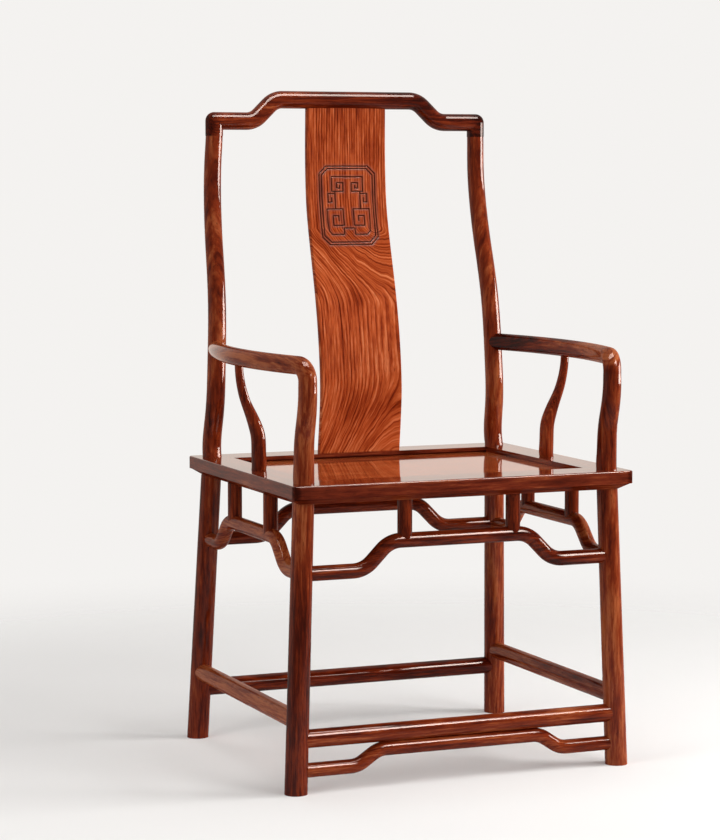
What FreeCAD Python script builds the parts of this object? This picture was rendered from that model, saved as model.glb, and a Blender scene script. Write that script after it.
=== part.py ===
import FreeCAD, Part
import math
import os
import Sketcher
from FreeCAD import Placement, Rotation, Vector

# Armchair with a stepped crest rail, after the southern official's hat pattern.
# X runs across the chair, Y from front to back and Z up; the origin is on the floor, under the
# middle of the whole chair. Left is the -X side. Lengths are in millimetres, angles in degrees.

SIZES = {
    # Seat frame: four mitred rails with an undercut edge
    "seat_width": 600,
    "seat_depth": 504,
    "seat_height": 494,
    "side_rail_width": 63,
    "front_rail_width": 71,
    "rear_rail_width": 69,
    "frame_thickness": 31,
    "edge_band": 21,
    "edge_ledge": 1.5,
    "edge_undercut": 17,
    "corner_rounding": 9,
    "edge_rounding": 2.5,
    "lip_width": 3,
    "lip_depth": 4.5,
    # Floating panel and its two battens
    "panel_recess": 8.5,
    "panel_thickness": 10,
    "panel_shoulder": 1,
    "tongue_thickness": 5,
    "tongue_depth": 8,
    "batten_width": 34,
    "batten_height": 11.5,
    "batten_key_depth": 3.5,
    "batten_key_flare": 3,
    "batten_offset": 112,
    # Legs, from the floor to the seat frame
    "foot_diameter": 37.2,
    "leg_top_diameter": 34.8,
    "leg_splay": 18,
    "front_leg_rake": 9.2,
    "rear_leg_rake": 31.7,
    "front_post_setback": 38.5,
    "rear_post_setback": 35.5,
    # Rear posts above the seat
    "rear_post_diameter": 32.8,
    "rear_post_rise": 550,
    "rear_post_lean": 40.2,
    "rear_post_draw_in": 21,
    "rear_post_head_diameter": 29.4,
    # Front posts above the seat, up to the arms
    "front_post_diameter": 33.8,
    "front_post_reach": 17.5,
    # Arms
    "arm_rise": 186.4,
    "arm_diameter": 29.6,
    "arm_bend_radius": 25,
    "arm_toe_in_angle": 14.6,
    # Struts under the arms
    "arm_strut_inset": 35.5,
    "arm_strut_setback": 251,
    "arm_strut_foot_diameter": 24.5,
    "arm_strut_head_diameter": 14,
    "arm_strut_peg_diameter": 9,
    # Back splat
    "splat_setback": 47,
    "splat_foot_width": 152,
    "splat_head_width": 148,
    "splat_thickness": 12,
    "splat_edge_rounding": 2,
    "splat_foot_depth": 16,
    # Crest rail
    "crest_diameter": 30.4,
    "crest_end_rise": 25.3,
    "crest_step_rise": 37.5,
    "crest_low_run": 59.5,
    "crest_step_run": 68,
    "crest_step_bend": 36,
    "crest_wing_angle": 3,
    # Humped stretchers under the seat
    "stretcher_diameter": 24.4,
    "stretcher_raise": 45,
    "stretcher_bend": 45,
    "stretcher_step_run": 82,
    "cross_raise_half": 103.5,
    "side_raise_half": 91.5,
    # Short struts between the humped stretchers and the seat frame
    "short_strut_reach": 67.5,
    "short_strut_diameter": 24,
    "short_strut_inset": 7.5,
    "short_strut_peg_diameter": 12,
    # Foot rails and the brace under the front one
    "foot_rail_diameter": 29.8,
    "foot_rail_height": 87.1,
    "rear_foot_rail_lift": 1.2,
    "side_foot_rail_lift": 29.7,
    "brace_diameter": 23.4,
    "brace_bite": 0.5,
    "brace_raise": 24.4,
    "brace_bend": 40,
    "brace_raise_half": 131.5,
    "brace_step_run": 61,
    # Mortise and tenon joints
    "tenon_thickness": 8,
    "tenon_height": 14,
    "tenon_length": 30,
    "tenon_tip_gap": 1.5,
    "post_tenon_width": 13,
    "post_tenon_height": 17,
    "peg_depth": 10,
    "joint_clearance": 0.2,
    "overrun": 4,
}

# Curve of the rear posts above the seat: share of the rise, share of the lean
REAR_POST_SHARES = (
    (0, 0), (0.14, -0.139), (0.28, -0.2), (0.38, -0.142), (0.47, -0.02), (0.57, 0.255),
    (0.66, 0.585), (0.76, 0.885), (0.85, 1.045), (0.93, 1.06), (1, 1),
)
# Curve of the front posts above the seat: share of the rise, share of the reach forward
FRONT_POST_SHARES = (
    (0, 0), (0.18, 0.015), (0.34, 0.07), (0.44, 0.18), (0.535, 0.385), (0.63, 0.635),
    (0.72, 0.83), (0.81, 0.955), (0.9, 1), (1, 1),
)
# Curve of the splat above the seat: share of the rise, share of the lean
SPLAT_SHARES = (
    (0, 0), (0.07, -0.09), (0.13, -0.155), (0.18, -0.178), (0.24, -0.146), (0.32, -0.045),
    (0.41, 0.13), (0.49, 0.338), (0.58, 0.604), (0.66, 0.82), (0.75, 0.957), (0.83, 1), (0.92, 1),
    (1, 1),
)
# Curve of the arm struts: share of the rise, share of the lean, share of the taper
ARM_STRUT_SHARES = (
    (0, 0, 0), (0.15, -0.004, 0), (0.26, 0.012, 0.02), (0.34, 0.085, 0.08), (0.42, 0.235, 0.26),
    (0.5, 0.415, 0.5), (0.57, 0.585, 0.69), (0.65, 0.75, 0.81), (0.73, 0.87, 0.9),
    (0.82, 0.96, 0.97), (0.9, 1, 1), (1, 1, 1),
)

SIDES = {"left": -1, "right": 1}
ENDS = ("front", "rear")
ACROSS = Rotation(Vector(0, 0, 1), 90)
HALF_TURN = Rotation(Vector(0, 0, 1), 180)
LENGTHWAYS = Rotation(Vector(0, 1, 0), 90)

doc = FreeCAD.newDocument("armchair")
sheet = doc.addObject("Spreadsheet::Sheet", "sizes")
for row, (alias, number) in enumerate(SIZES.items(), start=1):
    sheet.set(f"A{row}", alias)
    sheet.set(f"B{row}", str(number))
    sheet.setAlias(f"B{row}", alias)
doc.recompute()

nodes = []


# Helpers: expressions of the sheet, sketches and solids bound to them

def value(expression):
    """Number that an expression of the sheet stands for now."""
    return float(sheet.evalExpression(str(expression)))


def bind(thing, **expressions):
    """Tie properties to expressions; __ in a name stands for a dot."""
    for name, expression in expressions.items():
        thing.setExpression(name.replace("__", "."), str(expression))


def place(thing, x="0", y="0", z="0"):
    bind(thing, Placement__Base__x=x, Placement__Base__y=y, Placement__Base__z=z)


def new_body(name):
    return doc.addObject("PartDesign::Body", name)


def new_sketch(body, name, plane, offset=("0", "0", "0"), axis=None, angle="0"):
    """Sketch on one of the body's own planes, moved and turned in that plane's directions."""
    sketch = body.newObject("Sketcher::SketchObject", name)
    support = next(item for item in body.Origin.OriginFeatures if item.Role == plane)
    sketch.AttachmentSupport = [(support, "")]
    sketch.MapMode = "FlatFace"
    if axis:
        sketch.AttachmentOffset = Placement(Vector(), Rotation(axis, value(angle)))
        bind(sketch, AttachmentOffset__Rotation__Angle=angle)
    for letter, expression in zip("xyz", offset):
        sketch.setExpression(f"AttachmentOffset.Base.{letter}", str(expression))
    return sketch


def constrain(sketch, kind, *items):
    """Constraint whose last item is an expression when it holds a size."""
    if kind in ("DistanceX", "DistanceY", "Radius", "Diameter"):
        index = sketch.addConstraint(Sketcher.Constraint(kind, *items[:-1], value(items[-1])))
        sketch.setExpression(f"Constraints[{index}]", str(items[-1]))
    else:
        sketch.addConstraint(Sketcher.Constraint(kind, *items))


def hold(sketch, element, point, u, v):
    """Hold a point of an element at u, v from the sketch's origin."""
    constrain(sketch, "DistanceX", -1, 1, element, point, u)
    constrain(sketch, "DistanceY", -1, 1, element, point, v)


def circle(sketch, diameter, u="0", v="0"):
    centre = Vector(value(u), value(v), 0)
    element = sketch.addGeometry(Part.Circle(centre, Vector(0, 0, 1), value(diameter) / 2))
    hold(sketch, element, 3, u, v)
    constrain(sketch, "Diameter", element, diameter)
    return sketch


def polygon(sketch, corners):
    """Closed outline with each corner held at its place."""
    points = [Vector(value(u), value(v), 0) for u, v in corners]
    first = sketch.GeometryCount
    for index, point in enumerate(points):
        sketch.addGeometry(Part.LineSegment(point, points[(index + 1) % len(points)]))
    for index, (u, v) in enumerate(corners):
        constrain(sketch, "Coincident", first + index, 2, first + (index + 1) % len(points), 1)
        hold(sketch, first + index, 1, u, v)
    return sketch


def rectangle(sketch, half_width, low, high):
    return polygon(sketch, (
        (f"-({half_width})", low), (half_width, low), (half_width, high), (f"-({half_width})", high),
    ))


def rounded_rectangle(sketch, half_width, low, high, radius):
    """Rectangle with four equal round corners, its sides held at their places."""
    w, r = value(half_width), value(radius)
    bottom, top = value(low), value(high)
    ends = (
        (Vector(r - w, bottom), Vector(w - r, bottom)), (Vector(w, bottom + r), Vector(w, top - r)),
        (Vector(w - r, top), Vector(r - w, top)), (Vector(-w, top - r), Vector(-w, bottom + r)),
    )
    centres = (
        Vector(w - r, bottom + r), Vector(w - r, top - r), Vector(r - w, top - r), Vector(r - w, bottom + r),
    )
    for index, centre in enumerate(centres):
        sketch.addGeometry(Part.LineSegment(*ends[index]))
        turn = math.pi / 2 * (index - 1)
        ring = Part.Circle(centre, Vector(0, 0, 1), r)
        sketch.addGeometry(Part.ArcOfCircle(ring, turn, turn + math.pi / 2))
    for index in range(4):
        line, arc, after = 2 * index, 2 * index + 1, (2 * index + 2) % 8
        constrain(sketch, "Tangent", line, 2, arc, 1)
        constrain(sketch, "Tangent", arc, 2, after, 1)
        constrain(sketch, "Radius", arc, radius)
    constrain(sketch, "DistanceY", -1, 1, 0, 1, low)
    constrain(sketch, "DistanceX", -1, 1, 2, 1, half_width)
    constrain(sketch, "DistanceY", -1, 1, 4, 1, high)
    constrain(sketch, "DistanceX", -1, 1, 6, 1, f"-({half_width})")
    return sketch


def pad(body, sketch, length, name="pad", midplane=False):
    feature = body.newObject("PartDesign::Pad", name)
    feature.Profile = sketch
    feature.Midplane = midplane
    bind(feature, Length=length)
    return feature


def pocket(body, sketch, length, name="pocket", midplane=False, reverse=False):
    """Pocket that must take wood away."""
    doc.recompute()
    before = body.Shape.Volume
    feature = body.newObject("PartDesign::Pocket", name)
    feature.Profile = sketch
    feature.Midplane = midplane
    feature.Reversed = reverse
    bind(feature, Length=length)
    doc.recompute()
    if body.Shape.Volume >= before:
        raise RuntimeError(f"{body.Name}: {name} cuts nothing")
    return feature


def loft(body, sections, name, ruled=False):
    feature = body.newObject("PartDesign::AdditiveLoft", name)
    feature.Profile = sections[0]
    feature.Sections = sections[1:]
    feature.Ruled = ruled
    return feature


def revolve(body, sketch, axis, angle, name, midplane=False, reverse=False):
    feature = body.newObject("PartDesign::Revolution", name)
    feature.Profile = sketch
    feature.ReferenceAxis = (sketch, [axis])
    feature.Midplane = midplane
    feature.Reversed = reverse
    bind(feature, Angle=angle)
    return feature


def cylinder(name, diameter, length, x, y, z, turn=None):
    solid = doc.addObject("Part::Cylinder", name)
    if turn:
        solid.Placement = Placement(Vector(), turn)
    bind(solid, Radius=f"({diameter}) / 2", Height=length)
    place(solid, x, y, z)
    return solid


def block(name, centre, extent, grow="0", angle=None):
    """Block about its centre, every side grown alike, turned about the upright through its centre."""
    sketch_half = [f"(({side}) / 2 + {grow})" for side in extent]
    solid = doc.addObject("Part::Box", name)
    bind(
        solid, Length=f"2 * {sketch_half[0]}", Width=f"2 * {sketch_half[1]}", Height=f"2 * {sketch_half[2]}")
    along, aside = sketch_half[0], sketch_half[1]
    if angle is None:
        place(solid, f"{centre[0]} - {along}", f"{centre[1]} - {aside}", f"{centre[2]} - {sketch_half[2]}")
        return solid
    solid.Placement = Placement(Vector(), Rotation(Vector(0, 0, 1), value(angle)))
    bind(solid, Placement__Rotation__Angle=angle)
    cosine, sine = f"cos({angle})", f"sin({angle})"
    place(
        solid,
        f"{centre[0]} - {along} * {cosine} + {aside} * {sine}",
        f"{centre[1]} - {along} * {sine} - {aside} * {cosine}",
        f"{centre[2]} - {sketch_half[2]}",
    )
    return solid


def fuse(name, solids):
    if len(solids) == 1:
        return solids[0]
    joined = doc.addObject("Part::MultiFuse", name)
    joined.Shapes = solids
    return joined


def cut(name, base, tools):
    result = doc.addObject("Part::Cut", name)
    result.Base = base
    result.Tool = fuse(f"{name}_tools", tools)
    return result


def node(label, thing):
    """Mark a finished piece: its label names its file."""
    thing.Label = label
    nodes.append(thing)
    return thing


# Places that several pieces share

CLEARANCE = "sizes.joint_clearance"
FRAME_UNDERSIDE = "(sizes.seat_height - sizes.frame_thickness)"
PANEL_TOP = "(sizes.seat_height - sizes.panel_recess)"
TONGUE_TOP = f"({PANEL_TOP} - sizes.panel_shoulder)"
POST_X = "(sizes.seat_width / 2 - sizes.side_rail_width / 2)"
CREST_POST_X = f"({POST_X} - sizes.rear_post_draw_in)"
CREST_JOINT = "(sizes.seat_height + sizes.rear_post_rise)"
CREST_LOW = f"({CREST_JOINT} + sizes.crest_end_rise)"
CREST_HIGH = f"({CREST_LOW} + sizes.crest_step_rise)"
CREST_RAISE_HALF = f"({CREST_POST_X} - sizes.crest_low_run - sizes.crest_step_run)"
CREST_BOW = (
    f"({CREST_RAISE_HALF} * tan(sizes.crest_wing_angle / 2)"
    f" + ({CREST_POST_X} - {CREST_RAISE_HALF}) * tan(sizes.crest_wing_angle))"
)
REAR_POST_BACK = "(sizes.seat_depth - sizes.rear_post_setback)"
WHOLE_DEPTH = f"({REAR_POST_BACK} + sizes.rear_post_lean + {CREST_BOW} + sizes.crest_diameter / 2)"
INNER_HALF = "(sizes.seat_width / 2 - sizes.side_rail_width)"


def back(distance):
    """Y of a place that lies this far behind the seat's front edge."""
    return f"({distance} - {WHOLE_DEPTH} / 2)"


FRONT_EDGE = back("0")
REAR_EDGE = back("sizes.seat_depth")
OPENING_FRONT = back("sizes.front_rail_width")
OPENING_REAR = back("(sizes.seat_depth - sizes.rear_rail_width)")
CREST_POST_Y = back(f"({REAR_POST_BACK} + sizes.rear_post_lean)")
CREST_Y = back(f"({REAR_POST_BACK} + sizes.rear_post_lean + {CREST_BOW})")
POST_Y = {"front": back("sizes.front_post_setback"), "rear": back(REAR_POST_BACK)}
ARM_POST_Y = back("(sizes.front_post_setback - sizes.front_post_reach)")
ARM_HEIGHT = "(sizes.seat_height + sizes.arm_rise)"
ARM_JOINT = f"({ARM_HEIGHT} - sizes.arm_bend_radius)"
TENON_REACH = "(sizes.tenon_thickness / 2 + sizes.tenon_tip_gap + sizes.tenon_length / 2)"


def leg_x(height):
    return f"({POST_X} + sizes.leg_splay * (1 - ({height}) / sizes.seat_height))"


def leg_y(end, height):
    rake = "- sizes.front_leg_rake" if end == "front" else "+ sizes.rear_leg_rake"
    return f"({POST_Y[end]} {rake} * (1 - ({height}) / sizes.seat_height))"


def step_angle(rise, run, bend):
    """Slope of the straight middle of a step between two equal arcs, in radians."""
    straight = math.sqrt(run ** 2 + (rise - 2 * bend) ** 2 - 4 * bend ** 2)
    return math.atan2(rise - 2 * bend, run) + math.atan2(2 * bend, straight)


def arc(sketch, centre, radius, start, end):
    """Arc between two angles, as geometry that the caller then constrains."""
    ring = Part.Circle(Vector(*centre, 0), Vector(0, 0, 1), radius)
    return sketch.addGeometry(Part.ArcOfCircle(ring, start, end))


def on_ring(centre, radius, angle):
    return Vector(centre[0] + radius * math.cos(angle), centre[1] + radius * math.sin(angle), 0)


# Legs and posts: each one long curved piece, thinned by a small shoulder under the seat frame

def post_sections(body, stations):
    """Round sections square to a post that leans in Y: each station is x, y, z, diameter."""
    sections = []
    for index, (x, y, z, diameter) in enumerate(stations):
        below = stations[max(index - 1, 0)]
        above = stations[min(index + 1, len(stations) - 1)]
        lean = f"-atan2({above[1]} - {below[1]}; {above[2]} - {below[2]})"
        level = index in (0, len(stations) - 1)
        sketch = new_sketch(
            body, f"{body.Name}_section", "XY_Plane", (x, y, z),
            axis=None if level else Vector(1, 0, 0), angle=lean,
        )
        sections.append(circle(sketch, diameter))
    return sections


def outward_body(name, side):
    """Body of a post; the left ones are turned round, so that X points outward in both."""
    body = new_body(name)
    if side < 0:
        body.Placement = Placement(Vector(), HALF_TURN)
    return body


def leg_sections(body, side, end, stations):
    """Level round sections of the straight leg: each station is a height and a diameter."""
    sections = []
    for height, diameter in stations:
        place_of_section = (leg_x(height), f"{side} * {leg_y(end, height)}", height)
        sketch = new_sketch(body, f"{body.Name}_section", "XY_Plane", place_of_section)
        sections.append(circle(sketch, diameter))
    return sections


def post_stations(end, side):
    """Stations of a post above the seat."""
    shares = REAR_POST_SHARES if end == "rear" else FRONT_POST_SHARES
    foot = f"sizes.{end}_post_diameter"
    if end == "rear":
        rise, lean, draw = "sizes.rear_post_rise", "sizes.rear_post_lean", "sizes.rear_post_draw_in"
        head = "sizes.rear_post_head_diameter"
    else:
        rise, lean, draw = f"({ARM_JOINT} - sizes.seat_height)", "-sizes.front_post_reach", "0"
        head = "sizes.arm_diameter"
    return [
        (
            f"({POST_X} - {draw} * {up_share})",
            f"({side} * ({POST_Y[end]} + ({lean}) * ({lean_share})))",
            f"(sizes.seat_height + {rise} * {up_share})",
            f"{foot} + ({head} - {foot}) * {up_share}",
        )
        for up_share, lean_share in shares
    ]


def make_post(name, side, end):
    body = outward_body(f"{name}_wood", side)
    leg = (("0", "sizes.foot_diameter"), (FRAME_UNDERSIDE, "sizes.leg_top_diameter"))
    loft(body, leg_sections(body, side, end, leg), "leg", ruled=True)
    foot = f"sizes.{end}_post_diameter"
    neck = ((FRAME_UNDERSIDE, foot), ("sizes.seat_height", foot))
    loft(body, leg_sections(body, side, end, neck), "neck", ruled=True)
    loft(body, post_sections(body, post_stations(end, side)), "post")
    return body


def make_post_hole(name, side, end):
    """Space that a post takes in the seat frame."""
    body = outward_body(name, side)
    wide = f"sizes.{end}_post_diameter + 2 * {CLEARANCE}"
    ends = (f"({FRAME_UNDERSIDE} - sizes.overrun)", "(sizes.seat_height + sizes.overrun)")
    loft(body, leg_sections(body, side, end, [(height, wide) for height in ends]), "hole", ruled=True)
    return body


def post_tenon(name, x, y, joint, grow="0"):
    """Square tenon on top of a post."""
    height = "sizes.post_tenon_height"
    size = ("sizes.post_tenon_width", "sizes.post_tenon_width", f"2 * {height}")
    return block(name, (x, y, joint), size, grow)


posts = {}
post_holes = {}
post_blanks = {}
for side_name, side in SIDES.items():
    for end in ENDS:
        key = (end, side_name)
        post_blanks[key] = make_post(f"{end}_post_{side_name}", side, end)
        post_holes[key] = make_post_hole(f"{end}_{side_name}_hole", side, end)
doc.recompute()


# Rail tenons: a flat tongue at each end of a rail, and the mortise that it leaves in the leg

mortises = {key: [] for key in post_blanks}


def rail_tenon(name, side, end, height, along, grow="0"):
    """Tenon of a rail that meets a leg at this height; along is the rail's direction."""
    x, y = f"{side} * {leg_x(height)}", leg_y(end, height)
    if along == "x":
        centre = (f"{x} - {side} * {TENON_REACH}", y, height)
        size = ("sizes.tenon_length", "sizes.tenon_thickness", "sizes.tenon_height")
    else:
        toward = "+" if end == "front" else "-"
        centre = (x, f"{y} {toward} {TENON_REACH}", height)
        size = ("sizes.tenon_thickness", "sizes.tenon_length", "sizes.tenon_height")
    return block(name, centre, size, grow)


def join_to_legs(label, blank, feet, height, along, others=()):
    """Scribe a rail to its two legs, give it tenons and note their mortises."""
    scribed = cut(f"{label}_scribed", blank, [post_blanks[key] for key in feet] + list(others))
    pieces = [scribed]
    for key in feet:
        end, side_name = key
        side = SIDES[side_name]
        pieces.append(rail_tenon(f"{label}_tenon", side, end, height, along))
        mortises[key].append(rail_tenon(f"{label}_mortise", side, end, height, along, CLEARANCE))
    return fuse(f"{label}_joined", pieces)


# Foot rails: plain round rails, the side ones higher so that the tenons miss each other

def cross_rail_blank(name, end, height, diameter):
    half = leg_x(height)
    return cylinder(name, diameter, f"2 * {half}", f"-{half}", leg_y(end, height), height, LENGTHWAYS)


def side_rail_blank(name, side, height, diameter):
    front, rear = leg_y("front", height), leg_y("rear", height)
    level = Rotation(Vector(1, 0, 0), -90)
    return cylinder(name, diameter, f"{rear} - {front}", f"{side} * {leg_x(height)}", front, height, level)


FOOT_RAIL_HEIGHTS = {
    "front": "sizes.foot_rail_height",
    "rear": "(sizes.foot_rail_height + sizes.rear_foot_rail_lift)",
    "side": "(sizes.foot_rail_height + sizes.side_foot_rail_lift)",
}
cross_rail_blanks = {}
for end in ENDS:
    height = FOOT_RAIL_HEIGHTS[end]
    label = f"{end}_foot_rail"
    cross_rail_blanks[end] = cross_rail_blank(f"{label}_round", end, height, "sizes.foot_rail_diameter")
    feet = [(end, "left"), (end, "right")]
    node(label, join_to_legs(label, cross_rail_blanks[end], feet, height, "x"))

for side_name, side in SIDES.items():
    label = f"{side_name}_foot_rail"
    height = FOOT_RAIL_HEIGHTS["side"]
    blank = side_rail_blank(f"{label}_round", side, height, "sizes.foot_rail_diameter")
    feet = [("front", side_name), ("rear", side_name)]
    node(label, join_to_legs(label, blank, feet, height, "y", list(cross_rail_blanks.values())))


# Humped rails: a round bar that steps up to a raised middle, bent along a drawn line

def stepped_path(sketch, half_span, rise, raise_half, run, bend):
    """Centre line of a humped rail about its middle, from end to end, low at height 0."""
    span, high, flat = value(half_span), value(rise), value(raise_half)
    out, radius = flat + value(run), value(bend)
    angle = step_angle(high, value(run), radius)
    quarter = math.pi / 2
    low_arc = [(-out, radius), (out, radius)]
    high_arc = [(-flat, high - radius), (flat, high - radius)]
    turns = (angle - quarter, quarter + angle, quarter - angle, -quarter - angle)
    sketch.addGeometry(Part.LineSegment(Vector(-span, 0), Vector(-out, 0)))
    arc(sketch, low_arc[0], radius, -quarter, turns[0])
    sketch.addGeometry(Part.LineSegment(
        on_ring(low_arc[0], radius, turns[0]), on_ring(high_arc[0], radius, turns[1])))
    arc(sketch, high_arc[0], radius, quarter, turns[1])
    sketch.addGeometry(Part.LineSegment(Vector(-flat, high), Vector(flat, high)))
    arc(sketch, high_arc[1], radius, turns[2], quarter)
    sketch.addGeometry(Part.LineSegment(
        on_ring(high_arc[1], radius, turns[2]), on_ring(low_arc[1], radius, turns[3])))
    arc(sketch, low_arc[1], radius, turns[3], -quarter)
    sketch.addGeometry(Part.LineSegment(Vector(out, 0), Vector(span, 0)))
    joints = ((0, 2, 1, 1), (1, 2, 2, 1), (2, 2, 3, 2), (3, 1, 4, 1),
              (4, 2, 5, 2), (5, 1, 6, 1), (6, 2, 7, 1), (7, 2, 8, 1))
    for joint in joints:
        constrain(sketch, "Tangent", *joint)
    for level in (0, 4, 8):
        constrain(sketch, "Horizontal", level)
    for bent in (1, 3, 5, 7):
        constrain(sketch, "Radius", bent, bend)
    hold(sketch, 0, 1, f"-({half_span})", "0")
    constrain(sketch, "DistanceY", -1, 1, 4, 1, rise)
    constrain(sketch, "DistanceX", -1, 1, 8, 2, half_span)
    for bent, at in ((1, f"-({raise_half} + {run})"), (3, f"-({raise_half})"), (5, raise_half),
                     (7, f"({raise_half} + {run})")):
        constrain(sketch, "DistanceX", -1, 1, bent, 3, at)


def humped_bar(name, half_span, rise, raise_half, run, bend, diameter):
    """Bar along the body's own X axis, about its middle."""
    body = new_body(name)
    path = new_sketch(body, f"{name}_line", "XZ_Plane")
    stepped_path(path, half_span, rise, raise_half, run, bend)
    section = new_sketch(body, f"{name}_round", "YZ_Plane", ("0", "0", f"-({half_span})"))
    circle(section, diameter)
    sweep = body.newObject("PartDesign::AdditivePipe", f"{name}_sweep")
    sweep.Profile = section
    sweep.Spine = (path, [f"Edge{number}" for number in range(1, path.GeometryCount + 1)])
    return body


def hump(name, span, raise_half):
    return humped_bar(
        name, span, "sizes.stretcher_raise", raise_half, "sizes.stretcher_step_run",
        "sizes.stretcher_bend", "sizes.stretcher_diameter")


stretcher_blanks = {}
LOW = f"({FRAME_UNDERSIDE} - sizes.short_strut_reach - sizes.stretcher_raise)"
for end in ENDS:
    blank = hump(f"{end}_hump_bar", leg_x(LOW), "sizes.cross_raise_half")
    place(blank, y=leg_y(end, LOW), z=LOW)
    stretcher_blanks[end] = blank
SIDE_SPAN = f"(({leg_y('rear', LOW)} - {leg_y('front', LOW)}) / 2)"
SIDE_MIDDLE = f"(({leg_y('rear', LOW)} + {leg_y('front', LOW)}) / 2)"
for side_name, side in SIDES.items():
    blank = hump(f"{side_name}_hump_bar", SIDE_SPAN, "sizes.side_raise_half")
    blank.Placement = Placement(Vector(), ACROSS)
    place(blank, f"{side} * {leg_x(LOW)}", SIDE_MIDDLE, LOW)
    stretcher_blanks[side_name] = blank
BRACE_HEIGHT = (
    "(sizes.foot_rail_height - sizes.foot_rail_diameter / 2 + sizes.brace_bite"
    " - sizes.brace_diameter / 2 - sizes.brace_raise)"
)
brace_blank = humped_bar(
    "brace_bar", leg_x(BRACE_HEIGHT), "sizes.brace_raise", "sizes.brace_raise_half",
    "sizes.brace_step_run", "sizes.brace_bend", "sizes.brace_diameter",
)
place(brace_blank, y=leg_y("front", BRACE_HEIGHT), z=BRACE_HEIGHT)
doc.recompute()


# Short struts: round, saddled over the raised run below, with a peg through both ends

RAISED = f"({LOW} + sizes.stretcher_raise)"
stretcher_holes = {name: [] for name in stretcher_blanks}
frame_holes = {"front": [], "rear": [], "left": [], "right": []}


def short_strut(label, stretcher, x, y):
    """Strut between a humped stretcher and the seat frame, standing at x, y."""
    blank = cylinder(
        f"{label}_round", "sizes.short_strut_diameter", f"{FRAME_UNDERSIDE} - {RAISED}", x, y, RAISED)
    saddled = cut(f"{label}_saddled", blank, [stretcher_blanks[stretcher]])
    length = f"{FRAME_UNDERSIDE} - {RAISED} + sizes.peg_depth"
    peg = cylinder(f"{label}_peg", "sizes.short_strut_peg_diameter", length, x, y, RAISED)
    hole = cylinder(
        f"{label}_hole", f"(sizes.short_strut_peg_diameter + 2 * {CLEARANCE})",
        f"{length} + 2 * {CLEARANCE}", x, y, f"{RAISED} - {CLEARANCE}")
    stretcher_holes[stretcher].append(hole)
    frame_holes[stretcher].append(hole)
    node(label, fuse(f"{label}_joined", [saddled, peg]))


for end in ENDS:
    for side_name, side in SIDES.items():
        reach = "(sizes.cross_raise_half - sizes.short_strut_inset)"
        short_strut(f"{end}_strut_{side_name}", end, f"{side} * {reach}", leg_y(end, LOW))
for side_name, side in SIDES.items():
    for end, direction in zip(ENDS, ("-", "+")):
        reach = "(sizes.side_raise_half - sizes.short_strut_inset)"
        short_strut(
            f"{side_name}_strut_{end}", side_name, f"{side} * {leg_x(LOW)}",
            f"({SIDE_MIDDLE} {direction} {reach})")

for end in ENDS:
    label = f"{end}_hump_stretcher"
    drilled = cut(f"{label}_drilled", stretcher_blanks[end], stretcher_holes[end])
    node(label, join_to_legs(label, drilled, [(end, "left"), (end, "right")], LOW, "x"))
for side_name in SIDES:
    label = f"{side_name}_hump_stretcher"
    drilled = cut(f"{label}_drilled", stretcher_blanks[side_name], stretcher_holes[side_name])
    feet = [("front", side_name), ("rear", side_name)]
    others = [stretcher_blanks["front"], stretcher_blanks["rear"]]
    node(label, join_to_legs(label, drilled, feet, LOW, "y", others))

feet = [("front", "left"), ("front", "right")]
node("front_foot_brace", join_to_legs(
    "front_foot_brace", brace_blank, feet, BRACE_HEIGHT, "x", [cross_rail_blanks["front"]]))


# Arms: a level bowed bar that turns down at the front onto its post

TOE_IN = "sizes.arm_toe_in_angle"
ARM_END_X = f"({POST_X} + sizes.arm_bend_radius * sin({TOE_IN}))"
ARM_END_Y = f"({ARM_POST_Y} + sizes.arm_bend_radius * cos({TOE_IN}))"


def rear_post_at(height):
    """Place on a rear post's line, between the stations above and below a height."""
    up_share = f"(({height}) - sizes.seat_height) / sizes.rear_post_rise"
    wanted = value(up_share)
    pairs = list(zip(REAR_POST_SHARES, REAR_POST_SHARES[1:]))
    low, high = next(pair for pair in pairs if pair[0][0] <= wanted <= pair[1][0])
    slope_share = (high[1] - low[1]) / (high[0] - low[0])
    lean = f"sizes.rear_post_lean * ({low[1]} + {slope_share} * ({up_share} - {low[0]}))"
    return f"({POST_X} - sizes.rear_post_draw_in * {up_share})", f"({POST_Y['rear']} + {lean})"


ARM_REAR_X, ARM_REAR_Y = rear_post_at(ARM_HEIGHT)
ARM_RUN_X, ARM_RUN_Y = f"({ARM_REAR_X} - {ARM_END_X})", f"({ARM_REAR_Y} - {ARM_END_Y})"
ARM_RADIUS = (
    f"(({ARM_RUN_X} * {ARM_RUN_X} + {ARM_RUN_Y} * {ARM_RUN_Y})"
    f" / (2 * ({ARM_RUN_Y} * sin({TOE_IN}) - {ARM_RUN_X} * cos({TOE_IN}))))"
)
ARM_CENTRE_X = f"({ARM_END_X} - {ARM_RADIUS} * cos({TOE_IN}))"
ARM_CENTRE_Y = f"({ARM_END_Y} + {ARM_RADIUS} * sin({TOE_IN}))"
ARM_SWEEP = (
    f"(2 * asin(sqrt({ARM_RUN_X} * {ARM_RUN_X} + {ARM_RUN_Y} * {ARM_RUN_Y}) / (2 * {ARM_RADIUS})) / 1 deg)"
)
ARM_STRUT_Y = back("sizes.arm_strut_setback")
ARM_STRUT_HEAD_X = (
    f"({ARM_CENTRE_X} + sqrt({ARM_RADIUS} * {ARM_RADIUS}"
    f" - ({ARM_STRUT_Y} - {ARM_CENTRE_Y}) * ({ARM_STRUT_Y} - {ARM_CENTRE_Y})))"
)
ARM_STRUT_FOOT_X = "(sizes.seat_width / 2 - sizes.arm_strut_inset)"


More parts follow.
